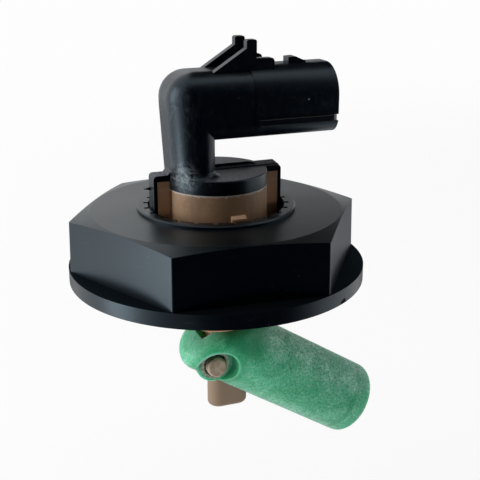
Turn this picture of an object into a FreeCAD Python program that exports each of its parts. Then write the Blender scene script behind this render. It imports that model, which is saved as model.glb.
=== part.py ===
import FreeCAD, Part
import math
import os

os.makedirs("parts", exist_ok=True)

# Coolant level sensor with a swinging float, clamped on a tank neck by a large union nut.
# Millimetres. The origin is on the nut's axis at the underside of its flange, Z points up,
# and X points along the electrical connector.

Vector = FreeCAD.Vector
axisX = Vector(1, 0, 0)
axisY = Vector(0, 1, 0)
axisZ = Vector(0, 0, 1)

# General clearances
bodyGap = 0.3          # between pieces that move past each other
pinRunning = 0.05      # radial clearance of the float on its pivot pin
seatGap = 0.05         # between moulded pieces that are pushed together

# Union nut
nutFlangeRadius = 37.5
nutFlangeThickness = 3.7
hexCornerRadius = 37.4         # at the flange
hexTopCornerRadius = 37.0      # the mould draft takes it in at the top
hexEdgeRadius = 0.6
hexTurn = -4.75                # degrees from X to the nearest corner
nutCornerHeight = 16.5         # top of the hexagon at its corners
nutCrownRadius = 31.5          # where the falling chamfer ends and the flatter crown begins
nutCrownHeight = 17.5
collarRadius = 19.95
collarBaseHeight = 17.7
collarHeight = 18.5
threadBoreRadius = 26.5        # the thread itself is too fine for this model
threadBoreDepth = 12.5
nutEyeRadius = 17.2            # the hole that the hub stands in
notchCount = 24
notchPhase = 10.0
notchWidth = 1.1
notchReach = 1.15              # how far a notch goes into the collar
notchDepth = 1.6

# Sensor body
bodyFlangeRadius = 25.4
bodyFlangeThickness = 3.2
spigotRadius = 21.0
spigotWall = 2.2
spigotBottom = 1.0
spigotChamfer = 0.5
ribCount = 8
ribThickness = 1.6
hubRadius = 12.84
hubTop = 23.75
hubBoreRadius = 9.5
hubFloor = 11.5
postInner = 12.2
postOuter = 15.8
postShadowWidth = 1.0          # shallow slots in the hub beside each post
postShadowDepth = 0.7
postDepth = 4.4
postTop = 25.8
tabWidth = 3.7
tabCentre = 1.05
tabHeight = 2.0
tabReach = 1.1
tabTop = 18.6
barrelRadius = 9.5
barrelBottom = -13.2
barrelEdge = 0.6
bladeLeft = -2.7
bladeRight = 8.05
bladeThickness = 6.0
bladeBottom = -38.3
bladeEdge = 1.2
channelLeft = 0.9
channelRight = 6.2
channelWidth = 3.0
channelBottom = -36.0

# Float pivot
pivotX = -2.5
pivotZ = -24.0
pinRadius = 2.65
pinHalfLength = 7.4
pinEndRound = 0.45
knuckleRadius = 4.6

# Float, described along its own length from the pivot, and shown against its stop,
# with its back close under the barrel's edge
floatAngle = 32.5              # below the horizontal
floatSwing = 18.0              # degrees that it can swing down, with the heel's back still closed
floatRadius = 10.0
floatOffset = 5.54             # the float's middle line above the pivot
floatLength = 47.0             # from the pivot to the far end
heelReach = 7.95               # how far the float's round heel goes behind the pivot
heelRadius = 17.4
heelHeight = -3.5              # where the heel reaches out farthest
rampAngle = 40.0               # the heel runs over into a ramp, close under the barrel
saddleRound = 3.6
floatEndRound = 2.2
floatWall = 1.5
earBossRadius = 4.9
recessRadius = 5.1
recessFloor = 4.6              # from the middle plane
magnetRadius = 2.95
magnetLength = 7.0
magnetStart = 19.4
cavityStart = 27.5
capThickness = 2.2
capLip = 0.6
washerThickness = 0.7
washerRadius = 3.9
washerTeeth = 9
washerToothDepth = 0.45

# Connector moulding
capRadius = hubRadius
capTop = 27.3
capEdge = 0.4
padFront = -1.1                # a low sloping pad runs across the cap to the right arm
padFrontHeight = 27.5
padBackHeight = 27.8
ridgeFront = 0.7               # with a thin ridge along it, which runs out to nothing
ridgeThickness = 0.6
ridgeTop = 28.2
ridgeEnd = 12.0
footFlare = 2.2                # the stem flares into the cap
flareInset = 0.1               # the flare starts just inside the stem and stops short of the rim
flareEase = 0.3
armBottom = postTop + seatGap
legOuter = 16.72
legBottom = 14.0
gussetSize = 1.5
spurLength = 1.6               # a small barb on the left leg
spurHeight = 23.4
spurThickness = 0.9
stemLeftTop = -13.3
stemLeftFoot = -12.2
stemRight = -2.35
armHalfWidth = 9.1
armBottomHeight = 36.0
armTopHeight = 52.1
elbowBend = 6.7
outerRound = 6.5                # long corners on the outside of the bend
innerRound = 3.5                # and on the inside of it
shroudTopRound = 7.6
shroudLowRound = 4.2
shroudStart = 7.2
shroudEnd = 29.0
shroudHalfWidth = 9.3
shroudBottom = 35.9
shroudTop = 52.7
shroudWall = 1.9
socketFloor = 11.5
socketMouthBevel = 0.5
finThickness = 2.0
finCentre = 4.0
finFootStart = -2.0
finTowerLeft = 6.3
finTowerRight = 8.9
finRampTop = 57.2
finTop = 59.2
finShelf = 54.8
finEnd = 13.5
finRound = 0.5
finEndRound = 0.9
lugStart = 18.6
lugEnd = 23.3
lugHeight = 1.5
lugWidth = 3.2
keyRibBottom = 39.1
keyRibTop = 40.7
keyRibReach = 0.5
keyRibStart = 7.6
keyRibEnd = 27.2
rimNotchDepth = 1.1
plugRadius = 9.2
plugBottom = 17.4
plugGrooveTop = 21.8
plugGrooveBottom = 19.6

# Inner pieces
terminalPitch = 4.0
terminalWidth = 1.5
terminalThickness = 0.8
terminalX = -6.6
terminalTip = 24.5
terminalHeight = 44.2
terminalFoot = 14.2
boardThickness = 0.6
boardY = -1.0
boardLeft = 1.3
boardRight = 5.8
boardBottom = -35.0
boardTop = 16.2
reedX = 3.55
reedRadius = 0.9
reedBottom = -29.0
reedLength = 14.0
reedLeadRadius = 0.28
reedLeadLength = 4.0
reedGap = 0.4
resistorRadius = 0.85
resistorBottom = -8.0
resistorLength = 3.6
wireRadius = 0.4
wireHeight = 15.0
pottingTop = 17.2
oRingSection = 0.85
gasketInner = spigotRadius + seatGap
gasketOuter = 25.0
gasketThickness = 2.0
gasketEdge = 0.4

# Heights that follow from the stack inside the nut
bodyFlangeTop = threadBoreDepth - bodyGap
bodyFlangeBottom = bodyFlangeTop - bodyFlangeThickness
gasketBottom = bodyFlangeBottom - gasketThickness
plugGrooveRadius = hubBoreRadius - 2 * oRingSection - seatGap
pivot = Vector(pivotX, 0, pivotZ)


def box(x0, x1, y0, y1, z0, z1):
    return Part.makeBox(x1 - x0, y1 - y0, z1 - z0, Vector(x0, y0, z0))


def cylinder(radius, z0, z1, x=0.0, y=0.0):
    return Part.makeCylinder(radius, z1 - z0, Vector(x, y, z0), axisZ)


def crossCylinder(radius, y0, y1, x, z):
    return Part.makeCylinder(radius, y1 - y0, Vector(x, y0, z), axisY)


def prism(points, y0, y1):
    """A flat outline in X and Z, carried from y0 to y1."""
    corners = [Vector(x, y0, z) for x, z in points]
    wire = Part.makePolygon(corners + [corners[0]])
    return Part.Face(wire).extrude(Vector(0, y1 - y0, 0))


def revolved(points):
    """A closed outline of radius and height, turned about Z."""
    corners = [Vector(r, 0, z) for r, z in points]
    wire = Part.makePolygon(corners + [corners[0]])
    return Part.Face(wire).revolve(Vector(0, 0, 0), axisZ, 360)


def edgesWhere(shape, test):
    return [edge for edge in shape.Edges if test(edge)]


def runsAlong(edge, direction):
    if not isinstance(edge.Curve, Part.Line):
        return False
    return abs(abs(edge.tangentAt(edge.FirstParameter).dot(direction)) - 1) < 1e-6


def roundedRectangle(x0, x1, halfWidth, z, leftRound, rightRound):
    """A rectangle in the plane at height z, with its own corner radius at each end."""
    edges = []
    corners = [(x0, -halfWidth, leftRound, 180), (x1, -halfWidth, rightRound, 270),
               (x1, halfWidth, rightRound, 0), (x0, halfWidth, leftRound, 90)]
    arcs = []
    for x, y, radius, start in corners:
        middle = Vector(x + math.copysign(radius, x0 + x1 - 2 * x), y - math.copysign(radius, y), z)
        points = []
        for angle in (start, start + 45, start + 90):
            turn = math.radians(angle)
            points.append(middle + Vector(math.cos(turn), math.sin(turn), 0) * radius)
        arcs.append(points)
    for k, points in enumerate(arcs):
        edges.append(Part.Arc(points[0], points[1], points[2]).toShape())
        edges.append(Part.makeLine(points[2], arcs[(k + 1) % 4][0]))
    return Part.Wire(edges)


def hexagon(radius, z):
    corners = []
    for k in range(6):
        angle = math.radians(hexTurn + 60 * k)
        corners.append(Vector(radius * math.cos(angle), radius * math.sin(angle), z))
    return Part.makePolygon(corners + [corners[0]])


def save(shape, name):
    """Check that a piece is sound and write it."""
    shape = shape.removeSplitter()
    if not shape.isValid():
        print("not valid:", name)
    solids = shape.Solids
    print("%-20s solids %d volume %.1f" % (name, len(solids), shape.Volume))
    if len(solids) == 1:
        shape = solids[0]
    shape.exportStep("parts/%s.step" % name)


# Union nut: a drafted hexagon under a turned crown, on a round flange
def unionNut():
    hexTop = collarHeight + 1.0
    block = Part.makeLoft([hexagon(hexCornerRadius, 0), hexagon(hexTopCornerRadius, hexTop)],
                          True, True)
    slanted = edgesWhere(block, lambda e: e.BoundBox.ZLength > 0.9 * hexTop)
    block = block.makeFillet(hexEdgeRadius, slanted)
    crown = revolved([
        (0, 0),
        (nutFlangeRadius + 1, 0),
        (nutFlangeRadius + 1, nutCornerHeight - 0.2),
        (hexTopCornerRadius, nutCornerHeight),
        (nutCrownRadius, nutCrownHeight),
        (collarRadius, collarBaseHeight),
        (0, collarBaseHeight),
    ])
    body = block.common(crown)
    body = body.fuse(cylinder(nutFlangeRadius, 0, nutFlangeThickness))
    collar = cylinder(collarRadius, collarBaseHeight - 1, collarHeight)
    rim = edgesWhere(collar, lambda e: e.BoundBox.ZMin > collarHeight - 0.01
                     and e.BoundBox.ZLength < 0.01)
    body = body.fuse(collar.makeChamfer(0.3, rim))
    body = body.cut(cylinder(threadBoreRadius, -1, threadBoreDepth))
    body = body.cut(cylinder(nutEyeRadius, 0, collarHeight + 1))
    return body.cut(collarNotches())


def collarNotches():
    """The ring of small notches in the collar's inner edge."""
    end = nutEyeRadius + notchReach
    low = collarHeight - notchDepth
    slot = box(nutEyeRadius - 1, end, -notchWidth / 2, notchWidth / 2, low, collarHeight + 1)
    slots = []
    for k in range(notchCount):
        one = slot.copy()
        one.rotate(Vector(0, 0, 0), axisZ, notchPhase + 360.0 * k / notchCount)
        slots.append(one)
    return Part.makeCompound(slots)


# Sensor body: hub, posts, seal flange, ribbed spigot, barrel and the flat stem
def stemOutline(grow, top):
    """The flat stem with its hinge knuckle, larger all round by grow."""
    halfThickness = bladeThickness / 2 + grow
    blade = box(bladeLeft - grow, bladeRight + grow, -halfThickness, halfThickness,
                bladeBottom - grow, top)
    knuckle = crossCylinder(knuckleRadius + grow, -halfThickness, halfThickness, pivotX, pivotZ)
    return blade.fuse(knuckle)


def stem():
    blade = box(bladeLeft, bladeRight, -bladeThickness / 2, bladeThickness / 2,
                bladeBottom, barrelBottom + 1)
    upright = edgesWhere(blade, lambda e: runsAlong(e, axisZ))
    blade = blade.makeFillet(bladeThickness / 2 - 0.05, upright)
    foot = edgesWhere(blade, lambda e: e.BoundBox.ZMax < bladeBottom + 0.01)
    blade = blade.makeFillet(bladeEdge, foot)
    halfThickness = bladeThickness / 2
    knuckle = crossCylinder(knuckleRadius, -halfThickness, halfThickness, pivotX, pivotZ)
    neck = box(pivotX, pivotX + knuckleRadius, -halfThickness, halfThickness,
               pivotZ - knuckleRadius, barrelBottom + 0.5)
    return blade.fuse([knuckle, neck])


def sensorBody():
    body = cylinder(hubRadius, bodyFlangeBottom, hubTop)
    body = body.fuse(cylinder(bodyFlangeRadius, bodyFlangeBottom, bodyFlangeTop))
    spigot = cylinder(spigotRadius, spigotBottom, bodyFlangeBottom + 0.5)
    lowRim = edgesWhere(spigot, lambda e: e.BoundBox.ZMax < spigotBottom + 0.01)
    spigot = spigot.makeChamfer(spigotChamfer, lowRim)
    hollow = cylinder(spigotRadius - spigotWall, spigotBottom - 1, bodyFlangeBottom)
    body = body.fuse(spigot.cut(hollow))
    for k in range(ribCount):
        rib = box(barrelRadius - 1, spigotRadius - spigotWall / 2, -ribThickness / 2,
                  ribThickness / 2, spigotBottom + 0.5, bodyFlangeBottom + 0.5)
        rib.rotate(Vector(0, 0, 0), axisZ, 360.0 * (k + 0.5) / ribCount)
        body = body.fuse(rib)
    barrel = cylinder(barrelRadius, barrelBottom, bodyFlangeBottom + 0.5)
    lowRim = edgesWhere(barrel, lambda e: e.BoundBox.ZMax < barrelBottom + 0.01)
    body = body.fuse(barrel.makeFillet(barrelEdge, lowRim))
    body = body.fuse(stem())
    for side in (-1, 1):
        x0, x1 = sorted((side * postInner, side * postOuter))
        post = box(x0, x1, -postDepth / 2, postDepth / 2, bodyFlangeTop - 0.5, postTop)
        body = body.fuse(post)
        x0, x1 = sorted((side * (hubRadius - postShadowDepth), side * (hubRadius + 1)))
        for y in (postDepth / 2, -postDepth / 2 - postShadowWidth):
            body = body.cut(box(x0, x1, y, y + postShadowWidth, bodyFlangeTop + 1, hubTop + 1))
    body = body.fuse(hubTab())
    body = body.cut(cylinder(hubBoreRadius, hubFloor, hubTop + 1))
    channel = box(channelLeft, channelRight, -channelWidth / 2, channelWidth / 2,
                  channelBottom, hubFloor + 0.5)
    body = body.cut(channel)
    return body.cut(crossCylinder(pinRadius, -20, 20, pivotX, pivotZ))


def hubTab():
    """The small catch low on the hub."""
    front = -hubRadius - tabReach
    tab = box(tabCentre - tabWidth / 2, tabCentre + tabWidth / 2, front, -hubRadius + 1.5,
              tabTop - tabHeight, tabTop)
    lead = edgesWhere(tab, lambda e: runsAlong(e, axisX) and e.BoundBox.ZMin > tabTop - 0.01
                      and e.BoundBox.YMax < front + 0.01)
    return tab.makeChamfer(0.6, lead)


# Connector moulding: cap on the hub, latch legs, upright stem, elbow and plug shroud
def connectorHousing():
    body = hubCap()
    body = body.fuse(bentStem())
    body = body.fuse(plugShroud())
    body = body.fuse(latchGuards())
    body = body.cut(socketHollow())
    for side in (-1, 1):
        body = body.cut(terminal(side))
    return body


def hubCap():
    cap = cylinder(capRadius, hubTop, capTop)
    half = postDepth / 2 + seatGap
    for side in (-1, 1):
        x0, x1 = sorted((side * (postInner - seatGap), side * (capRadius + 1)))
        cap = cap.cut(box(x0, x1, -half, half, hubTop - 1, armBottom))
    rim = edgesWhere(cap, lambda e: e.BoundBox.ZMin > capTop - 0.01 and e.BoundBox.ZLength < 0.01)
    cap = cap.makeFillet(capEdge, rim)
    plug = cylinder(plugRadius, plugBottom, hubTop + 0.5)
    groove = cylinder(plugRadius + 1, plugGrooveBottom, plugGrooveTop)
    groove = groove.cut(cylinder(plugGrooveRadius, plugGrooveBottom - 1, plugGrooveTop + 1))
    cap = cap.fuse(plug.cut(groove))
    cap = cap.fuse(capPad())
    cap = cap.fuse(stemFlare())
    for side in (-1, 1):
        cap = cap.fuse(latchLeg(side))
    return cap


def capPad():
    """The low pad across the cap, and the ridge along its back."""
    start = stemRight - 1
    low = capTop - 0.5
    back = postDepth / 2
    corners = [Vector(start, padFront, low), Vector(start, padFront, padFrontHeight),
               Vector(start, back, padBackHeight), Vector(start, back, low)]
    wire = Part.makePolygon(corners + [corners[0]])
    pad = Part.Face(wire).extrude(Vector(legOuter - start, 0, 0))
    end = edgesWhere(pad, lambda e: e.BoundBox.XMin > legOuter - 0.01
                     and e.BoundBox.ZMin > padFrontHeight - 0.01)
    pad = pad.makeFillet(0.7, end)
    ridge = prism([(start, capTop), (start, ridgeTop), (ridgeEnd - 3, ridgeTop),
                   (ridgeEnd, padFrontHeight), (ridgeEnd, capTop)],
                  ridgeFront, ridgeFront + ridgeThickness)
    return pad.fuse(ridge)


def stemFlare():
    """The stem's foot spreads onto the cap in a hollow curve, and stops at the cap's rim."""
    sections = []
    steps = 6
    for k in range(steps + 1):
        height = footFlare * (1 - math.cos(math.radians(90 * k / steps)))
        grow = footFlare - math.sqrt(footFlare ** 2 - (footFlare - height) ** 2) - flareInset
        left = stemLeftFoot - grow
        right = stemRight + grow
        half = armHalfWidth + grow
        sections.append(roundedRectangle(left, right, half, capTop - 0.1 + height,
                                         outerRound - flareEase + grow, innerRound + grow))
    flare = Part.makeLoft(sections, True, True)
    return flare.common(cylinder(capRadius - flareInset, hubTop, capTop + footFlare + 1))


def latchLeg(side):
    """An arm over one post and a thin leg down its outer face."""
    half = postDepth / 2
    x0, x1 = sorted((side * (capRadius - 1.5), side * legOuter))
    arm = box(x0, x1, -half, half, armBottom, capTop)
    outer = edgesWhere(arm, lambda e: runsAlong(e, axisY) and e.BoundBox.ZMin > capTop - 0.01
                       and abs(e.BoundBox.XMin) > legOuter - 0.01)
    arm = arm.makeFillet(0.9, outer)
    x0, x1 = sorted((side * (postOuter + seatGap), side * legOuter))
    leg = box(x0, x1, -half, half, legBottom, armBottom + 0.3)
    arm = arm.fuse(leg)
    if side < 0:
        foot = stemLeftFoot + 0.3
        gusset = prism([(foot, capTop - 0.3), (foot - gussetSize, capTop - 0.3),
                        (foot, capTop + gussetSize)], -half, half)
        arm = arm.fuse(gusset)
        tip = -legOuter - spurLength
        root = 0.2 - legOuter
        spur = prism([(root, spurHeight + spurThickness / 2), (root, spurHeight - spurThickness / 2),
                      (tip, spurHeight)], half - spurThickness, half)
        arm = arm.fuse(spur)
    return arm


def bentStem():
    """The stem rises from the cap and bends over towards the plug."""
    foot = capTop - 1
    outline = [(stemLeftFoot, foot), (stemLeftTop, armBottomHeight + 8),
               (stemLeftTop, armTopHeight), (shroudStart + 1, armTopHeight),
               (shroudStart + 1, armBottomHeight), (stemRight, armBottomHeight),
               (stemRight, foot)]
    bent = prism(outline, -armHalfWidth, armHalfWidth)
    elbow = edgesWhere(bent, lambda e: runsAlong(e, axisY) and e.BoundBox.ZMin > armTopHeight - 0.01
                       and e.BoundBox.XMax < stemLeftTop + 0.01)
    bent = bent.makeFillet(elbowBend, elbow)

    def outer(edge):
        if runsAlong(edge, axisY) or abs(abs(edge.BoundBox.YMin) - armHalfWidth) > 0.01:
            return False
        if abs(edge.BoundBox.YMax - edge.BoundBox.YMin) > 0.01:
            return False
        if edge.BoundBox.XMax > shroudStart + 0.99 and edge.BoundBox.ZLength > 1:
            return False
        atTop = edge.BoundBox.ZMin > armTopHeight - 0.01
        return atTop or edge.BoundBox.XMax < stemRight - 0.5 and edge.BoundBox.ZLength > 0.5

    bent = bent.makeFillet(outerRound, edgesWhere(bent, outer))

    def inner(edge):
        low = runsAlong(edge, axisX) and edge.BoundBox.ZMax < armBottomHeight + 0.01
        upright = runsAlong(edge, axisZ) and abs(edge.BoundBox.XMin - stemRight) < 0.01
        return (low or upright) and edge.BoundBox.ZMin > foot - 0.01 and edge.Length > 5

    return bent.makeFillet(innerRound, edgesWhere(bent, inner))


def plugShroud():
    shroud = box(shroudStart, shroudEnd, -shroudHalfWidth, shroudHalfWidth,
                 shroudBottom, shroudTop)
    top = edgesWhere(shroud, lambda e: runsAlong(e, axisX) and e.BoundBox.ZMin > shroudTop - 0.01)
    shroud = shroud.makeFillet(shroudTopRound, top)
    low = edgesWhere(shroud, lambda e: runsAlong(e, axisX)
                     and e.BoundBox.ZMax < shroudBottom + 0.01 and e.Length > 5)
    shroud = shroud.makeFillet(shroudLowRound, low)
    keyRib = box(keyRibStart, keyRibEnd, -shroudHalfWidth - keyRibReach, -shroudHalfWidth + 1,
                 keyRibBottom, keyRibTop)
    front = -shroudHalfWidth
    corners = [Vector(keyRibEnd + 0.5, front - 0.1, keyRibBottom),
               Vector(shroudEnd + 0.1, front - 0.1, keyRibBottom),
               Vector(shroudEnd + 0.1, front + rimNotchDepth, keyRibBottom)]
    wire = Part.makePolygon(corners + [corners[0]])
    notch = Part.Face(wire).extrude(Vector(0, 0, keyRibTop - keyRibBottom))
    return shroud.fuse(keyRib).cut(notch)


def socketHollow():
    inner = shroudHalfWidth - shroudWall
    hollow = box(socketFloor, shroudEnd + 1, -inner, inner,
                 shroudBottom + shroudWall, shroudTop - shroudWall)
    long = edgesWhere(hollow, lambda e: runsAlong(e, axisX))
    return hollow.makeFillet(shroudLowRound - shroudWall, long)


def latchGuards():
    """Two stepped plates that guard the plug's latch, and the lug that it catches on."""
    guards = []
    foot = armTopHeight - 2.5
    outline = [(finFootStart, foot), (finFootStart, armTopHeight - 0.2), (finTowerLeft, finRampTop),
               (finTowerLeft, finTop), (finTowerRight, finTop), (finTowerRight, finShelf),
               (finEnd, finShelf - 0.1), (finEnd, foot)]
    for side in (-1, 1):
        middle = side * finCentre
        fin = prism(outline, middle - finThickness / 2, middle + finThickness / 2)
        top = edgesWhere(fin, lambda e: runsAlong(e, axisY) and e.BoundBox.ZMin > finTop - 0.01)
        fin = fin.makeFillet(finRound, top)
        heel = edgesWhere(fin, lambda e: runsAlong(e, axisY) and e.BoundBox.XMin > finEnd - 0.01
                          and e.BoundBox.ZMin > finShelf - 0.5)
        guards.append(fin.makeFillet(finEndRound, heel))
    top = shroudTop + lugHeight
    lug = prism([(lugStart, shroudTop - 1), (lugStart, top - 0.1), (lugStart + 2.0, top),
                 (lugEnd, shroudTop + 0.3), (lugEnd, shroudTop - 1)], -lugWidth / 2, lugWidth / 2)
    guards.append(lug)
    return guards


# Contacts: a flat blade in the socket, bent down through the stem to the hub
def terminal(side):
    y0 = side * terminalPitch / 2 - terminalWidth / 2
    y1 = y0 + terminalWidth
    half = terminalThickness / 2
    blade = box(terminalX - half, terminalTip, y0, y1, terminalHeight - half,
                terminalHeight + half)
    tip = edgesWhere(blade, lambda e: e.BoundBox.XMin > terminalTip - 0.01
                     and not runsAlong(e, axisX))
    blade = blade.makeChamfer(0.25, tip)
    leg = box(terminalX - half, terminalX + half, y0, y1, terminalFoot, terminalHeight + half)
    return blade.fuse(leg).removeSplitter()


# Float, made lying along X from the pivot and then turned down to its low stop
def placeFloat(shape):
    placed = shape.copy()
    placed.rotate(Vector(0, 0, 0), axisY, floatAngle)
    placed.translate(pivot)
    return placed


def alongFloat(radius, start, length, height=floatOffset):
    return Part.makeCylinder(radius, length, Vector(start, 0, height), axisX)


def floatShell():
    shell = alongFloat(floatRadius, -heelReach - 1, heelReach + 1 + floatLength)
    shell = shell.cut(saddle())
    rim = edgesWhere(shell, lambda e: e.BoundBox.XMin < floatLength - 1 and not runsAlong(e, axisX)
                     and not runsAlong(e, axisY))
    shell = shell.makeFillet(saddleRound, rim)
    farRim = edgesWhere(shell, lambda e: e.BoundBox.XMin > floatLength - 0.01)
    shell = shell.makeFillet(floatEndRound, farRim)
    shell = shell.fuse(crossCylinder(earBossRadius, -recessFloor, recessFloor, 0, 0))
    for side in (-1, 1):
        y0, y1 = sorted((side * recessFloor, side * (floatRadius + 1)))
        shell = shell.cut(crossCylinder(recessRadius, y0, y1, 0, 0))
    shell = shell.cut(crossCylinder(pinRadius + pinRunning, -20, 20, 0, 0))
    inner = floatRadius - floatWall
    shell = shell.cut(alongFloat(inner, cavityStart, floatLength - capThickness - cavityStart))
    shell = shell.cut(alongFloat(inner - capLip, cavityStart, floatLength))
    shell = shell.cut(alongFloat(magnetRadius + seatGap, magnetStart, cavityStart - magnetStart + 1))
    shell = placeFloat(shell).cut(stemSweep())
    return max(shell.Solids, key=lambda solid: solid.Volume)


def saddle():
    """All that lies outside the round heel and above the ramp."""
    middle = Vector(heelRadius - heelReach, -floatRadius - 5, heelHeight)

    def onHeel(angle):
        turn = math.radians(angle)
        return middle + Vector(math.cos(turn), 0, math.sin(turn)) * heelRadius

    low = onHeel(200)
    high = onHeel(90 + rampAngle)
    reach = 4 * floatRadius
    slope = math.radians(rampAngle)
    far = high + Vector(math.cos(slope), 0, math.sin(slope)) * reach
    corners = [Vector(-reach, low.y, far.z), Vector(-reach, low.y, -reach)]
    edges = [Part.Arc(low, onHeel(170), high).toShape()]
    ring = [high, far] + corners + [low]
    for start, end in zip(ring, ring[1:]):
        edges.append(Part.makeLine(start, end))
    return Part.Face(Part.Wire(edges)).extrude(Vector(0, 2 * floatRadius + 10, 0))


def stemSweep():
    """What the stem and the barrel pass through while the float swings."""
    fixed = stemOutline(bodyGap, barrelBottom + 5)
    fixed = fixed.fuse(cylinder(barrelRadius + bodyGap, barrelBottom - bodyGap, 0))
    swept = []
    steps = 7
    for k in range(steps + 1):
        turned = fixed.copy()
        turned.rotate(pivot, axisY, -floatSwing * k / steps)
        swept.append(turned)
    return swept


def floatCap():
    inner = floatRadius - floatWall - capLip
    cap = alongFloat(inner - seatGap, floatLength - capThickness, capThickness)
    rim = edgesWhere(cap, lambda e: e.BoundBox.XMin > floatLength - 0.01)
    cap = cap.makeChamfer(0.3, rim)
    return placeFloat(cap)


def magnet():
    return placeFloat(alongFloat(magnetRadius, magnetStart + seatGap, magnetLength))


# Pivot pin with rounded ends, and the toothed washers that hold the float on it
def pivotPin():
    pin = crossCylinder(pinRadius, -pinHalfLength, pinHalfLength, pivotX, pivotZ)
    ends = edgesWhere(pin, lambda e: e.BoundBox.YLength < 0.01)
    return pin.makeChamfer(pinEndRound, ends)


def pinWashers():
    washers = []
    gap = 0.15
    for side in (-1, 1):
        y0, y1 = sorted((side * (recessFloor + gap), side * (recessFloor + gap + washerThickness)))
        washer = crossCylinder(washerRadius, y0, y1, pivotX, pivotZ)
        washer = washer.cut(crossCylinder(pinRadius, -20, 20, pivotX, pivotZ))
        for k in range(washerTeeth):
            slot = box(pinRadius - 0.3, pinRadius + washerToothDepth, -10, 10, -0.35, 0.35)
            slot.rotate(Vector(0, 0, 0), axisY, 360.0 * k / washerTeeth)
            slot.translate(pivot)
            washer = washer.cut(slot)
        washers.append(washer)
    return Part.makeCompound(washers)


# Seals
def neckGasket():
    ring = cylinder(gasketOuter, gasketBottom, bodyFlangeBottom)
    ring = ring.cut(cylinder(gasketInner, gasketBottom - 1, bodyFlangeBottom + 1))
    outer = edgesWhere(ring, lambda e: e.BoundBox.XMax > gasketOuter - 0.01
                       and e.BoundBox.ZLength < 0.01)
    return ring.makeChamfer(gasketEdge, outer)


def hubRing():
    middle = (plugGrooveTop + plugGrooveBottom) / 2
    return Part.makeTorus(hubBoreRadius - oRingSection, oRingSection, Vector(0, 0, middle), axisZ)


# Switch assembly on a narrow board down the stem
def board():
    half = boardThickness / 2
    return box(boardLeft, boardRight, boardY - half, boardY + half, boardBottom, boardTop)


def onBoard(radius, z0, length):
    y = boardY + boardThickness / 2 + reedRadius
    return cylinder(radius, z0, z0 + length, reedX, y)


def reedCapsule():
    glass = onBoard(reedRadius, reedBottom, reedLength)
    ends = edgesWhere(glass, lambda e: e.BoundBox.ZLength < 0.01)
    glass = glass.makeFillet(reedRadius * 0.6, ends)
    for blade in (reedLower(), reedUpper()):
        glass = glass.cut(blade)
    return glass


def reedLower():
    return onBoard(reedLeadRadius, reedBottom - reedLeadLength,
                   reedLeadLength + reedLength / 2 - reedGap / 2)


def reedUpper():
    return onBoard(reedLeadRadius, reedBottom + reedLength / 2 + reedGap / 2,
                   reedLength / 2 - reedGap / 2 + reedLeadLength)


def resistor():
    body = onBoard(resistorRadius, resistorBottom, resistorLength)
    ends = edgesWhere(body, lambda e: e.BoundBox.ZLength < 0.01)
    return body.makeChamfer(resistorRadius * 0.4, ends)


def leadWire(side):
    """A straight jumper from a contact's foot to the board."""
    start = Vector(terminalX + terminalThickness / 2, side * terminalPitch / 2, wireHeight)
    landing = boardY + side * (boardThickness / 2 + wireRadius)
    end = Vector(boardLeft + 1.2, landing, wireHeight)
    run = end.sub(start)
    wire = Part.makeCylinder(wireRadius, run.Length, start, run)
    wire = wire.cut(board())
    return wire.cut(terminal(side))


def potting():
    fill = cylinder(hubBoreRadius - seatGap, hubFloor + seatGap, pottingTop)
    fill = fill.cut(board())
    for side in (-1, 1):
        fill = fill.cut(terminal(side))
        fill = fill.cut(leadWire(side))
    return fill


save(unionNut(), "union_nut")
save(sensorBody(), "sensor_body")
save(connectorHousing(), "connector_housing")
save(terminal(-1), "terminal_front")
save(terminal(1), "terminal_back")
save(floatShell(), "float_shell")
save(floatCap(), "float_cap")
save(magnet(), "float_magnet")
save(pivotPin(), "pivot_pin")
save(pinWashers(), "pin_washers")
save(neckGasket(), "neck_gasket")
save(hubRing(), "hub_o_ring")
save(board(), "switch_board")
save(reedCapsule(), "reed_capsule")
save(reedLower(), "reed_blade_lower")
save(reedUpper(), "reed_blade_upper")
save(resistor(), "resistor")
save(leadWire(-1), "lead_wire_front")
save(leadWire(1), "lead_wire_back")
save(potting(), "potting")
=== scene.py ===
import bpy
import math
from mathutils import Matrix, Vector


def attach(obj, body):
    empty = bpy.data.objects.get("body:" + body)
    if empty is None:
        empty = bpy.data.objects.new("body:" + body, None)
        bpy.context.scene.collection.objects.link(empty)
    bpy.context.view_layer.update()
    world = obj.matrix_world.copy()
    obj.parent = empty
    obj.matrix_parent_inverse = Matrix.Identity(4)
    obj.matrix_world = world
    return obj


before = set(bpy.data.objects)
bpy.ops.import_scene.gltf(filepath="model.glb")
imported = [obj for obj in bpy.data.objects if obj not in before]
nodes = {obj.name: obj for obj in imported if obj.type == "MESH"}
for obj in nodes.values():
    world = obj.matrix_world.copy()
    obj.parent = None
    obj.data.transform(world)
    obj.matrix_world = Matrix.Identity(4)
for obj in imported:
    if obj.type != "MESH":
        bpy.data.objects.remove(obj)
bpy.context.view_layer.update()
print("frame loaded:", len(nodes), "nodes")

millimetre, perMetre = 0.001, 1000.0
eastward, northward, upward, frontward = (1, 0, 0), (0, 1, 0), (0, 0, 1), (0, -1, 0)

# The float's pin, in millimetres, and how far the float hangs below level, in degrees
pivot = {"pin": (-2.5, 0, -24.0), "hang": 32.5}
hang = math.radians(pivot["hang"])
alongFloat = (math.cos(hang), 0, -math.sin(hang))
acrossFloat = (math.sin(hang), 0, math.cos(hang))


def mm(*values):
    return Vector(values) * millimetre


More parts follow.
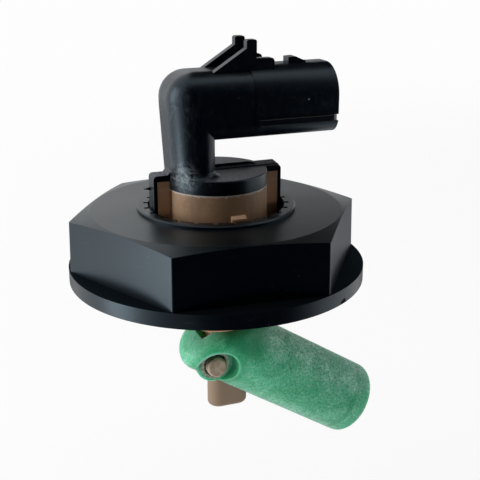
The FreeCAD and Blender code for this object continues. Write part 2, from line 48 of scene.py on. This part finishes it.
# Shader maths: a Value is one output of a node, and sums on it add the nodes they need
class Value:
    def __init__(self, graph, socket):
        self.graph = graph
        self.socket = socket

    def math(self, operation, *terms):
        return self.graph.node("ShaderNodeMath", {"operation": operation}, dict(enumerate(terms)))

    def __add__(self, other): return self.math("ADD", self, other)
    def __radd__(self, other): return self.math("ADD", other, self)
    def __sub__(self, other): return self.math("SUBTRACT", self, other)
    def __rsub__(self, other): return self.math("SUBTRACT", other, self)
    def __mul__(self, other): return self.math("MULTIPLY", self, other)
    def __rmul__(self, other): return self.math("MULTIPLY", other, self)
    def __pow__(self, other): return self.math("POWER", self, other)
    def __rpow__(self, other): return self.math("POWER", other, self)
    def __abs__(self): return self.math("ABSOLUTE", self)

    def eitherOf(self, other):                                  # the larger of two masks
        return self.math("MAXIMUM", self, other)

    def rise(self, low, high):                                  # 0 below low, 1 above high, smooth between
        settings = {"interpolation_type": "SMOOTHSTEP"}
        return self.graph.node("ShaderNodeMapRange", settings, {0: self, 1: low, 2: high, 3: 0.0, 4: 1.0})

    def fall(self, low, high):                                  # 1 below low, 0 above high
        return 1.0 - self.rise(low, high)

    def band(self, middle, low, high):                          # 1 nearer to middle than low, 0 further than high
        return abs(self - middle).fall(low, high)


# A Graph adds nodes to the tree of a material or of the world
class Graph:
    def __init__(self, tree):
        self.tree = tree

    def fill(self, socket, value):                              # with a link, or with a fixed number, vector or colour
        if isinstance(value, Value):
            self.tree.links.new(value.socket, socket)
        elif socket.type == "RGBA":
            socket.default_value = (*value, 1.0)
        else:
            socket.default_value = value

    def node(self, kind, settings=None, values=None, output=0):
        made = self.tree.nodes.new(kind)
        for name, setting in (settings or {}).items():
            setattr(made, name, setting)
        for key, value in (values or {}).items():
            self.fill(made.inputs[key], value)
        return Value(self, made.outputs[output])

    def whiteRays(self):                                        # 1 for the rays that see the background as white
        camera, glossy, through = [self.node("ShaderNodeLightPath", output="Is %s Ray" % ray)
                                   for ray in ("Camera", "Glossy", "Transmission")]
        return camera.eitherOf(glossy).eitherOf(through)


# A Finish is one material, with the patterns and masks that these plastics and metals need
class Finish(Graph):
    def __init__(self, name, fixed=None):
        self.material = bpy.data.materials.new(name)
        self.material.use_nodes = True
        super().__init__(self.material.node_tree)
        self.shader = self.tree.nodes["Principled BSDF"]
        self.place = self.node("ShaderNodeTexCoord", output="Object")
        self.normal = self.node("ShaderNodeNewGeometry", output="Normal")
        for socket, value in (fixed or {}).items():
            self.feed(socket, value)

    def feed(self, socket, value):
        self.fill(self.shader.inputs[socket], value)

    def colour(self, value):
        self.feed("Base Color", value)

    def bump(self, height, strength, depth):                    # depth in millimetres
        values = {"Strength": strength, "Distance": depth * millimetre, "Height": height}
        self.feed("Normal", self.node("ShaderNodeBump", None, values))

    def blend(self, amount, first, second):                     # colours, by a mask
        return self.node("ShaderNodeMix", {"data_type": "RGBA"}, {0: amount, 6: first, 7: second}, output=2)

    def noise(self, scale, detail=3.0, rough=0.55, warp=0.0, stretch=None):
        place = self.place
        if stretch:
            place = self.node("ShaderNodeMapping", None, {"Vector": place, "Scale": stretch})
        values = {"Vector": place, "Scale": scale, "Detail": detail, "Roughness": rough, "Distortion": warp}
        return self.node("ShaderNodeTexNoise", None, values)

    def cells(self, scale):
        return self.node("ShaderNodeTexVoronoi", None, {"Vector": self.place, "Scale": scale})

    def vector(self, operation, *terms, output=0):
        return self.node("ShaderNodeVectorMath", {"operation": operation}, dict(enumerate(terms)), output)

    def distance(self, point):                                  # from a point, both in millimetres
        gap = self.vector("SUBTRACT", self.place, mm(*point))
        return self.vector("LENGTH", gap, output="Value") * perMetre

    def along(self, direction, start=(0, 0, 0)):                # millimetres along a direction from a point
        gap = self.vector("SUBTRACT", self.place, mm(*start))
        return self.vector("DOT_PRODUCT", gap, direction, output="Value") * perMetre

    def facing(self, direction):                                # how far the surface faces a direction, -1 to 1
        return self.vector("DOT_PRODUCT", self.normal, Vector(direction).normalized(), output="Value")

    def radius(self):                                           # millimetres from the upright middle line
        east, north = self.along(eastward), self.along(northward)
        return (east * east + north * north) ** 0.5

    def fromPin(self):                                          # millimetres along the float, across it, and in all
        length, height = self.along(alongFloat, pivot["pin"]), self.along(acrossFloat, pivot["pin"])
        return length, height, (length * length + height * height) ** 0.5

    def spots(self, points, size):                              # small marks at given places
        marks, *others = [self.distance(point).fall(size * 0.6, size) for point in points]
        for mark in others:
            marks = marks.eitherOf(mark)
        return marks

    def on(self, *pieces):                                      # CAD nodes by name, new pieces as objects
        for piece in pieces:
            slots = (nodes[piece] if isinstance(piece, str) else piece).data.materials
            slots.clear()
            slots.append(self.material)
        return self


# The union nut: a black moulding with dust on its crown, partly painted light on the crown's top, and painted shade on
# its flange
def nutPlastic():
    look = {"deep": (0.0006, 0.0014, 0.0036), "dustAndTopLight": (0.010, 0.0125, 0.0105), "scuff": (0.030, 0.034, 0.036),
            "tint": (0.60, 0.84, 1.0), "specular": 0.52, "roughness": 0.24, "matt": 0.45, "paintedShade": 0.75,
            "broad": 30.0, "grain": 2400.0, "scratches": 170.0, "specks": 520.0, "speckAreas": 90.0, "flow": 55.0,
            "crown": (14.0, 17.0), "marks": ((-6.9, -31.75, 14.95),), "markSize": 0.45,
            "nickShadow": ((20.3, -31.5, 0.2), (21.0, -31.1, 0.5)), "nickSize": 0.9}
    finish = Finish("nutPlastic", {"Specular IOR Level": look["specular"], "Specular Tint": look["tint"]})
    broad = finish.noise(look["broad"], 4.0, warp=0.6)
    grain = finish.noise(look["grain"], 2.0)
    top = finish.facing(upward).rise(0.55, 0.98)
    crown = finish.along(upward).rise(*look["crown"])           # dust, and painted light on the top, lie on the crown, not on the flange
    # partly painted light: upward faces of the crown are painted paler, partly dust and partly the light falling on
    # the top
    base = finish.blend(top * crown * broad.rise(0.35, 0.75), look["deep"], look["dustAndTopLight"])
    scratch = finish.noise(look["scratches"], 3.0, stretch=(1.0, 1.0, 9.0)).rise(0.66, 0.74) * 0.35
    speck = finish.cells(look["specks"]).fall(0.08, 0.16) * finish.noise(look["speckAreas"]).rise(0.55, 0.62)
    base = finish.blend(scratch.eitherOf(speck * 0.8) * (1.0 - top * 0.6), base, look["scuff"])
    marks = finish.spots(look["marks"], look["markSize"]) * 0.25
    finish.colour(finish.blend(marks, base, look["scuff"]))
    drag = finish.noise(look["flow"], 5.0, stretch=(1.0, 1.0, 5.0))         # flow of the melt down the faces
    nickShadow = finish.spots(look["nickShadow"], look["nickSize"])                     # painted shade: a small dark nick in the rim, drawn without shine
    shadedLedge = (top * (1.0 - crown)).eitherOf(nickShadow)                # the flange is matt between the hexagon and its rim, and painted in shade there
    finish.feed("Roughness", look["roughness"] + broad * 0.10 + drag * 0.08 + grain * 0.03 + shadedLedge * look["matt"])
    finish.feed("Metallic", shadedLedge * look["paintedShade"])              # painted shade: Metallic on the black takes the shine away there
    finish.bump(grain * 0.6 + broad * 0.6 + drag * 0.3, 0.20, 0.10)
    return finish.on("union_nut")


# The connector moulding: black and swirled, with a worn foot partly painted as a highlight, painted light on its left
# faces, painted highlights along a keying rib, a seam up the stem and a grained cap whose top is painted paler as if
# lit
def blackPlastic():
    look = {"deep": (0.0006, 0.0015, 0.0042), "flow": (0.0095, 0.0125, 0.0165), "paleTone": (0.115, 0.140, 0.150),
            "chafedHighlight": (0.215, 0.250, 0.265), "speck": (0.16, 0.165, 0.16), "capDark": (0.036, 0.034, 0.050),
            "capLitPale": (0.105, 0.102, 0.140), "tint": (0.62, 0.85, 1.0), "specular": 0.5, "roughness": 0.25,
            "swirl": 330.0, "broad": 26.0, "wear": 700.0, "curls": 430.0, "fine": 1700.0, "capGrain": 1500.0,
            "specks": 210.0, "speckAreas": 60.0, "foot": (-11.0, -7.4, 27.6), "footReach": (1.0, 5.0),
            "leftEnd": (-6.0, -3.0), "stemEnd": (-4.0, -2.5), "ribStart": (7.5, 8.5), "ribs": (40.65, 39.15),
            "capEnd": (29.0, 31.0), "seam": 44.1, "seamSway": 1.2, "markSize": 0.32,
            "marks": ((11.6, -9.3, 47.2), (19.9, -9.3, 49.1), (20.8, -9.3, 44.9), (2.7, -9.3, 46.4))}
    finish = Finish("blackPlastic", {"Specular IOR Level": look["specular"], "Specular Tint": look["tint"]})
    east, height = finish.along(eastward), finish.along(upward)
    swirl = finish.noise(look["swirl"], 6.0, 0.66, warp=2.6, stretch=(1.0, 1.0, 0.5))
    broad = finish.noise(look["broad"], 3.0)
    base = finish.blend(swirl.rise(0.50, 0.70) * 0.8, look["deep"], look["flow"])
    foot = finish.distance(look["foot"]).fall(*look["footReach"])           # the foot of the stem is worn pale, partly a painted highlight
    wear = finish.noise(look["wear"], 5.0, 0.75, warp=0.8).rise(0.40, 0.60)
    base = finish.blend(foot * wear, base, look["chafedHighlight"])
    # painted light: faces turned to the left are painted paler, as lit from that side, broken up by curling swirl
    # marks
    leftLight = finish.facing((-0.92, -0.40, 0.0)).rise(0.55, 0.92) * east.fall(*look["leftEnd"])
    curls = finish.noise(look["curls"], 6.0, 0.75, warp=2.0, stretch=(1.0, 1.0, 0.35)).rise(0.50, 0.68)
    base = finish.blend(leftLight * curls * 0.32, base, look["paleTone"])
    base = finish.blend(finish.spots(look["marks"], look["markSize"]), base, look["speck"])
    frontGlint = finish.facing(frontward).rise(0.2, 0.8) * east.rise(*look["ribStart"])
    upper, lower = [height.band(rib, 0.04, 0.16) for rib in look["ribs"]]   # painted highlights: pale lines along the keying rib's edges
    base = finish.blend(frontGlint * upper.eitherOf(lower) * 0.30, base, look["speck"])
    specks = finish.cells(look["specks"]).fall(0.05, 0.10) * finish.noise(look["speckAreas"]).rise(0.60, 0.64)
    base = finish.blend(specks * 0.7, base, look["speck"])
    grainedLitTop = finish.facing(upward).rise(0.80, 0.97) * height.fall(*look["capEnd"])     # only the cap's top: grained, and painted paler as lit from above
    cap = finish.blend(finish.noise(look["capGrain"], 4.0).rise(0.40, 0.62), look["capDark"], look["capLitPale"])
    finish.colour(finish.blend(grainedLitTop * 0.9, base, cap))
    finish.feed("Roughness", look["roughness"] + swirl * 0.12 + broad * 0.06 + grainedLitTop * 0.12)
    fine = finish.noise(look["fine"], 3.0) * (0.35 + grainedLitTop * 1.2)
    seam = height.band(look["seam"] + broad * look["seamSway"], 0.05, 0.22)     # where the mould halves met the core
    finish.bump(fine + swirl * 0.7 + seam * east.fall(*look["stemEnd"]) * 0.8, 0.22, 0.12)
    return finish.on("connector_housing")


# The sensor's beige moulding, with a ragged pale flash where the hub meets the cap, posts painted paler as painted
# light and a blade painted darker as painted shade
def beigePlastic():
    look = {"body": (0.445, 0.278, 0.162), "shade": (0.345, 0.205, 0.112), "paleTone": (0.56, 0.44, 0.33),
            "smudge": (0.165, 0.105, 0.068), "flash": (0.66, 0.62, 0.55), "post": (0.80, 0.485, 0.290),
            "blade": (0.245, 0.170, 0.115), "glow": 0.10, "glowReach": (0.002, 0.0014, 0.0009), "roughness": 0.40,
            "broad": 48.0, "flow": 160.0, "specks": 1100.0, "ragged": 640.0, "raggedDepth": 1.5, "grain": 560.0,
            "flashLow": (22.45, 22.75), "flashHigh": (23.9, 24.1), "bladeTop": (-28.0, -18.0),
            "hubEdge": (12.95, 13.15), "postFoot": (17.0, 18.0),
            "ticks": ((-1.9, -12.6, 23.4), (-1.5, -12.7, 23.7)), "tickSize": 0.4}
    finish = Finish("beigePlastic", {"Subsurface Weight": look["glow"], "Subsurface Radius": look["glowReach"]})
    height = finish.along(upward)
    broad = finish.noise(look["broad"], 4.0, warp=0.8)
    speck = finish.noise(look["specks"], 3.0).rise(0.58, 0.70)
    flow = finish.noise(look["flow"], 4.0, stretch=(1.0, 1.0, 0.25)).rise(0.52, 0.72)
    base = finish.blend(broad.rise(0.35, 0.7), look["body"], look["shade"])
    base = finish.blend(flow * 0.35, base, look["smudge"])
    # pale worn specks
    base = finish.blend(speck * 0.4, base, look["paleTone"])
    ragged = height - finish.noise(look["ragged"], 4.0, 0.7) * look["raggedDepth"]
    flash = ragged.rise(*look["flashLow"]) * height.fall(*look["flashHigh"])
    flash = (flash * 0.8).eitherOf(finish.spots(look["ticks"], look["tickSize"]))
    base = finish.blend(flash, base, look["flash"])
    # painted shade: the blade low under the nut is painted darker, for the shade it lies in
    base = finish.blend(height.fall(*look["bladeTop"]), base, look["blade"])
    # painted light: the posts are painted paler than the hub, making up for the shade of the cap's legs
    postsPaintedLit = finish.radius().rise(*look["hubEdge"]) * height.rise(*look["postFoot"])
    finish.colour(finish.blend(postsPaintedLit * 0.8, base, look["post"]))
    finish.feed("Roughness", look["roughness"] + broad * 0.14)
    finish.bump(finish.noise(look["grain"], 3.0) + flow * 0.4, 0.16, 0.08)
    return finish.on("sensor_body")


# The float and its cap: translucent green plastic, frosted above, below and at its far end, partly as painted light,
# with painted shade in the saddle and round the pin's recess
def greenFloat(name, *pieces):
    look = {"green": (0.082, 0.47, 0.270), "bright": (0.055, 0.50, 0.265), "frost": (0.42, 0.74, 0.60),
            "deep": (0.026, 0.30, 0.142), "hinge": (0.006, 0.235, 0.092), "fibre": (0.60, 0.84, 0.74),
            "burr": (0.80, 0.90, 0.86), "glow": 0.75, "glowReach": (0.0020, 0.0060, 0.0036), "glowScale": 1.0,
            "specular": 0.42, "roughness": 0.34, "mottle": 1500.0, "fine": 2600.0, "broad": 190.0, "haze": 1900.0,
            "fibres": 900.0, "hingeEnd": (2.0, 15.0), "top": (5.0, 15.0), "bottom": (-4.6, 0.5),
            "farEnd": (38.0, 46.0), "saddleHeight": (4.5, 8.5), "saddleStart": (-5.0, -1.5),
            "saddleEnd": (5.0, 11.0), "ringEdge": (5.6, 8.0), "recess": 5.35, "capArc": 40.6, "capSway": 1.6,
            "capEnd": (41.5, 44.5), "burrs": ((-0.6, -5.0, -29.8), (-1.5, -7.6, -28.4)), "burrSize": 0.8}
    finish = Finish(name, {"Subsurface Weight": look["glow"], "Subsurface Radius": look["glowReach"],
                           "Subsurface Scale": look["glowScale"], "Specular IOR Level": look["specular"]})
    length, height, reach = finish.fromPin()
    front = finish.facing(frontward)
    mottle = finish.noise(look["mottle"], 5.0, 0.70, warp=0.4)
    fine = finish.noise(look["fine"], 3.0, 0.6)
    broad = finish.noise(look["broad"], 4.0, warp=0.6)
    hinge = length.fall(*look["hingeEnd"])
    base = finish.blend(mottle.rise(0.42, 0.60), look["deep"], look["green"])
    base = finish.blend(broad.rise(0.45, 0.62) * 0.45 + hinge * 0.30, base, look["bright"])
    upper = height.rise(*look["top"]) * (1.0 - hinge * 0.5)
    lower = height.fall(*look["bottom"])
    far = length.rise(*look["farEnd"])
    # partly painted light: frost is laid on heavier at the top, the bottom and the far end, lightening the top in the
    # nut's shade and the lit edges
    frostAndRimLight = (upper * 0.9).eitherOf(lower * 0.75).eitherOf(far * 0.5) + 0.30
    frost = finish.noise(look["haze"], 6.0, 0.78, warp=0.3).rise(0.43, 0.60) * (0.5 + broad.rise(0.38, 0.60) * 0.7)
    base = finish.blend(frost * frostAndRimLight * 0.8, base, look["frost"])
    strands = finish.noise(look["fibres"], 3.0, 0.6, warp=1.6, stretch=(1.0, 1.0, 0.45))
    fibre = strands.band(0.5, 0.004, 0.022) * broad.rise(0.40, 0.56)
    base = finish.blend(fibre * 0.42, base, look["fibre"])
    # painted shade: the saddle under the nut and a ring round the pin's recess are painted a darker green
    saddleShade = height.rise(*look["saddleHeight"]) * length.fall(*look["saddleEnd"]) * length.rise(*look["saddleStart"])
    ringShade = reach.fall(*look["ringEdge"]) * (1.0 - front.rise(0.75, 0.97) * 0.4)
    base = finish.blend(saddleShade.eitherOf(ringShade * 0.8) * 0.75, base, look["hinge"])
    lip = reach.band(look["recess"], 0.05, 0.35) * front.rise(0.3, 0.8)     # light catches the recess's edge
    base = finish.blend(lip * 0.28, base, look["frost"])
    base = finish.blend(finish.spots(look["burrs"], look["burrSize"]), base, look["burr"])
    inner = length - broad * look["capSway"]                    # the cap's inner edge shows as a darker arc
    arc = inner.band(look["capArc"], 0.25, 1.1) * (1.0 - upper * 0.6)
    end = length.rise(*look["capEnd"]) * (1.0 - upper * 0.5)
    base = finish.blend(end * 0.35, base, look["bright"])
    finish.colour(finish.blend(arc * 0.6, base, look["deep"]))
    finish.feed("Roughness", look["roughness"] + mottle * 0.20)
    finish.bump(fine * 0.5 + mottle * 0.7 + fibre * 0.5, 0.30, 0.12)
    return finish.on(*pieces)


# The toothed washers: greenish grey metal with a dark ragged ring round the pin, painted shade of the gap between pin
# and washer
def toothedWasher():
    look = {"grey": (0.40, 0.41, 0.34), "green": (0.20, 0.27, 0.20), "dark": (0.020, 0.016, 0.012),
            "metallic": 0.25, "roughness": 0.42, "mottle": 900.0, "grain": 1800.0, "ragged": 1400.0,
            "raggedDepth": 0.9, "pinRadius": 2.65}
    finish = Finish("washerMetal", {"Metallic": look["metallic"]})
    reach = finish.fromPin()[2] - finish.noise(look["ragged"], 3.0, 0.7) * look["raggedDepth"]
    # painted shade: the gap round the pin is painted as a dark ragged ring
    paintedShade = reach.fall(look["pinRadius"] - 0.15, look["pinRadius"] + 0.25)
    base = finish.blend(finish.noise(look["mottle"], 4.0).rise(0.40, 0.62), look["grey"], look["green"])
    finish.colour(finish.blend(paintedShade * 0.92, base, look["dark"]))
    finish.feed("Roughness", look["roughness"] + paintedShade * 0.40)
    finish.bump(finish.noise(look["grain"], 2.0), 0.18, 0.06)
    return finish.on("pin_washers")


# The pin and the inner pieces: a mottle of two colours, with gloss and a fine grain to go with it
def plainFinish(name, look):
    kind = look["kind"]
    finish = Finish(name, look["fixed"])
    mottle = finish.noise(look["mottle"], 4.0, warp=kind["warp"])
    finish.colour(finish.blend(mottle.rise(0.35, kind["high"]), look["pale"], look["dark"]))
    finish.feed("Roughness", look["roughness"] - kind["swing"] * 0.5 + mottle * kind["swing"])
    finish.bump(finish.noise(look["mottle"] * 3.0, 2.0), kind["bump"], 0.05)
    return finish.on(*look["pieces"])


metal = {"warp": 0.5, "high": 0.68, "swing": 0.16, "bump": 0.15}
moulding = {"warp": 0.0, "high": 0.70, "swing": 0.12, "bump": 0.12}
plainPieces = {
    "pinMetal": {"kind": metal, "pale": (0.46, 0.37, 0.27), "dark": (0.26, 0.20, 0.145), "roughness": 0.50,
                 "mottle": 380.0, "fixed": {"Metallic": 0.15}, "pieces": ("pivot_pin",)},
    "contactTin": {"kind": metal, "pale": (0.62, 0.61, 0.58), "dark": (0.45, 0.44, 0.41), "roughness": 0.32,
                   "mottle": 600.0, "fixed": {"Metallic": 1.0}, "pieces": ("terminal_front", "terminal_back")},
    "sealRubber": {"kind": moulding, "pale": (0.020, 0.020, 0.021), "dark": (0.032, 0.032, 0.033),
                   "roughness": 0.62, "mottle": 300.0, "fixed": {}, "pieces": ("neck_gasket", "hub_o_ring")},
    "magnetFerrite": {"kind": metal, "pale": (0.10, 0.10, 0.105), "dark": (0.05, 0.05, 0.05), "roughness": 0.55,
                      "mottle": 380.0, "fixed": {"Metallic": 0.75}, "pieces": ("float_magnet",)},
    "boardLaminate": {"kind": moulding, "pale": (0.05, 0.17, 0.07), "dark": (0.03, 0.11, 0.05),
                      "roughness": 0.40, "mottle": 900.0, "fixed": {}, "pieces": ("switch_board",)},
    "reedMetal": {"kind": metal, "pale": (0.62, 0.57, 0.48), "dark": (0.50, 0.45, 0.37), "roughness": 0.30,
                  "mottle": 600.0, "fixed": {"Metallic": 1.0}, "pieces": ("reed_blade_lower", "reed_blade_upper")},
    "resistorLacquer": {"kind": moulding, "pale": (0.56, 0.42, 0.24), "dark": (0.47, 0.34, 0.18),
                        "roughness": 0.30, "mottle": 600.0, "fixed": {}, "pieces": ("resistor",)},
    "wireCopper": {"kind": metal, "pale": (0.72, 0.42, 0.26), "dark": (0.60, 0.33, 0.20), "roughness": 0.34,
                   "mottle": 600.0, "fixed": {"Metallic": 1.0}, "pieces": ("lead_wire_front", "lead_wire_back")},
    "pottingResin": {"kind": moulding, "pale": (0.045, 0.038, 0.032), "dark": (0.030, 0.026, 0.022),
                     "roughness": 0.28, "mottle": 300.0, "fixed": {}, "pieces": ("potting",)},
    "reedGlass": {"kind": moulding, "pale": (0.55, 0.72, 0.60), "dark": (0.50, 0.66, 0.55), "roughness": 0.12,
                  "mottle": 300.0, "fixed": {"Transmission Weight": 0.8}, "pieces": ("reed_capsule",)},
}

nutFinish = nutPlastic()
blackPlastic()
beigePlastic()
greenFloat("greenFloat", "float_shell")
greenFloat("greenCap", "float_cap")
toothedWasher()
for finishName, pieceLook in plainPieces.items():
    plainFinish(finishName, pieceLook)
print("finishes done")


# The nut's inside thread, one long ridge wound up the bore
def nutThread():
    look = {"bore": 26.5, "height": 0.62, "halfWidth": 0.75, "sunk": 0.1, "start": 1.3, "pitch": 2.0, "turns": 4,
            "steps": 72, "weld": 0.005, "smoothAngle": 30.0}
    bpy.ops.object.select_all(action="DESELECT")
    middle = mm(look["bore"] + look["sunk"] - look["height"] * 0.5, 0, look["start"])
    bpy.ops.mesh.primitive_circle_add(vertices=3, radius=millimetre, location=middle)
    ridge = bpy.context.object
    ridge.name = "nut_thread_ridge"
    corners = ((look["sunk"], -look["halfWidth"]), (look["sunk"], look["halfWidth"]), (-look["height"], 0.0))
    for vertex, (out, up) in zip(ridge.data.vertices, corners):
        vertex.co = mm(look["bore"] + out, 0, look["start"] + up) - middle
    bpy.ops.object.transform_apply(location=True, rotation=True, scale=True)
    wind = ridge.modifiers.new("wind", "SCREW")
    wind.axis = "Z"
    wind.angle = math.tau
    wind.screw_offset = look["pitch"] * millimetre
    wind.iterations = look["turns"]
    wind.steps = wind.render_steps = look["steps"]
    bpy.ops.object.modifier_apply(modifier="wind")
    bpy.ops.object.mode_set(mode="EDIT")
    bpy.ops.mesh.select_all(action="SELECT")
    bpy.ops.mesh.remove_doubles(threshold=look["weld"] * millimetre)
    bpy.ops.mesh.select_all(action="DESELECT")
    bpy.ops.mesh.select_non_manifold()                          # the two open ends
    bpy.ops.mesh.fill_holes(sides=3)
    bpy.ops.mesh.select_all(action="SELECT")
    bpy.ops.mesh.normals_make_consistent(inside=False)
    bpy.ops.object.mode_set(mode="OBJECT")
    bpy.ops.object.shade_smooth_by_angle(angle=math.radians(look["smoothAngle"]))
    nutFinish.on(ridge)
    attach(ridge, "nut")


nutThread()
print("thread done")


# Studio, in metres: a white tent round the object with its front left open
def paleFloor():
    look = {"height": -0.066, "size": 4.0, "paint": (0.92, 0.92, 0.92), "roughness": 0.9, "glow": 0.9}
    bpy.ops.object.select_all(action="DESELECT")
    bpy.ops.mesh.primitive_plane_add(size=look["size"], location=(0, 0, look["height"]))
    floor = bpy.context.object
    floor.name = "floor"
    matt = {"Base Color": look["paint"], "Roughness": look["roughness"], "Specular IOR Level": 0.0}
    finish = Finish("paleFloor", matt)
    paint = Value(finish, finish.shader.outputs[0])             # the part that keeps the object's shadow
    white = finish.node("ShaderNodeEmission")
    both = finish.node("ShaderNodeMixShader", None, {0: finish.whiteRays() * look["glow"], 1: paint, 2: white})
    finish.fill(finish.tree.nodes["Material Output"].inputs["Surface"], both)
    finish.on(floor)


def tentLight():
    look = {"colour": (1, 1, 1), "strength": 0.9}               # for the rays that light the object
    world = bpy.data.worlds.new("tent")
    bpy.context.scene.world = world
    world.use_nodes = True
    tent = Graph(world.node_tree)
    back = tent.tree.nodes["Background"].inputs
    tent.fill(back["Color"], look["colour"])
    tent.fill(back["Strength"], tent.whiteRays().eitherOf(look["strength"]))


def flag(name, corners, tone=0.004, shades=True):               # a card that darkens a reflection, as in a studio
    bpy.ops.object.select_all(action="DESELECT")
    bpy.ops.mesh.primitive_plane_add(size=1.0)
    card = bpy.context.object
    card.name = name
    for vertex, corner in zip(card.data.vertices, corners):
        vertex.co = corner
    felt = {"Base Color": (tone, tone, tone * 1.1), "Roughness": 1.0, "Specular IOR Level": 0.0}
    Finish(name + "Felt", felt).on(card)
    card.visible_camera = False
    card.visible_diffuse = card.visible_shadow = shades


def openFront():
    look = {"radius": 0.16, "from": -150, "to": -38, "leaves": 6, "low": -0.0655, "high": 0.45,
            "roof": ((0.13, 0.42, 0.155), (0.70, 0.42, 0.155), (-0.04, 0.05, 0.30), (0.70, 0.05, 0.30)),
            "mat": ((-0.10, -0.16), (0.13, -0.16), (-0.04, -0.06), (0.06, -0.06)),
            "back": ((-0.07, 0.13), (0.16, 0.07), (-0.24, 0.62), (0.62, 0.42)), "backTone": 0.42}
    radius, low, high, leaves = look["radius"], look["low"], look["high"], look["leaves"]
    turns = [math.radians(look["from"] + (look["to"] - look["from"]) * leaf / leaves) for leaf in range(leaves + 1)]
    points = [(radius * math.cos(turn), radius * math.sin(turn)) for turn in turns]
    for count, (first, second) in enumerate(zip(points, points[1:])):
        flag("frontFlag%d" % count, [(*first, low), (*second, low), (*first, high), (*second, high)])
    flag("roofFlag", look["roof"])
    flag("matFlag", [(*corner, low) for corner in look["mat"]], shades=False)
    flag("backFlag", [(*corner, low) for corner in look["back"]], tone=look["backTone"], shades=False)


def lamps():                                                    # soft boxes at the left, and a fill for the float
    look = {"leftBox": {"place": (-0.50, 0.12, 0.16), "aim": (0.0, 0.0, 0.01), "size": (0.30, 0.40),
                        "power": 1.2, "reflects": True},
            "lowBox": {"place": (-0.17, -0.005, -0.038), "aim": (0.0, 0.0, -0.02), "size": (0.07, 0.05),
                       "power": 0.06, "reflects": True},
            "floatFill": {"place": (-0.03, -0.145, -0.050), "aim": (0.01, 0.0, -0.035), "size": (0.12, 0.03),
                          "power": 0.085, "reflects": False}}
    for name, lamp in look.items():
        light = bpy.data.lights.new(name, "AREA")
        light.shape = "RECTANGLE"
        light.size, light.size_y = lamp["size"]
        light.energy = lamp["power"]
        piece = bpy.data.objects.new(name, light)
        bpy.context.scene.collection.objects.link(piece)
        piece.location = lamp["place"]
        piece.rotation_mode = "QUATERNION"
        piece.rotation_quaternion = (Vector(lamp["aim"]) - Vector(lamp["place"])).to_track_quat("-Z", "Y")
        piece.visible_camera = False
        piece.visible_glossy = lamp["reflects"]


def camera():
    look = {"place": (-76.6, -216.47, 86.66), "back": (-0.3392, -0.8837, 0.3225), "lens": 71.1, "sensor": 36.0,
            "near": 0.005, "far": 20.0}
    lens = bpy.data.cameras.new("camera")
    lens.lens, lens.sensor_width = look["lens"], look["sensor"]
    lens.clip_start, lens.clip_end = look["near"], look["far"]
    piece = bpy.data.objects.new("camera", lens)
    bpy.context.scene.collection.objects.link(piece)
    piece.location = mm(*look["place"])
    piece.rotation_mode = "QUATERNION"
    piece.rotation_quaternion = (-Vector(look["back"])).to_track_quat("-Z", "Y")
    bpy.context.scene.camera = piece


paleFloor()
tentLight()
openFront()
lamps()
camera()
bpy.context.scene.view_settings.view_transform = "Standard"
print("studio done")
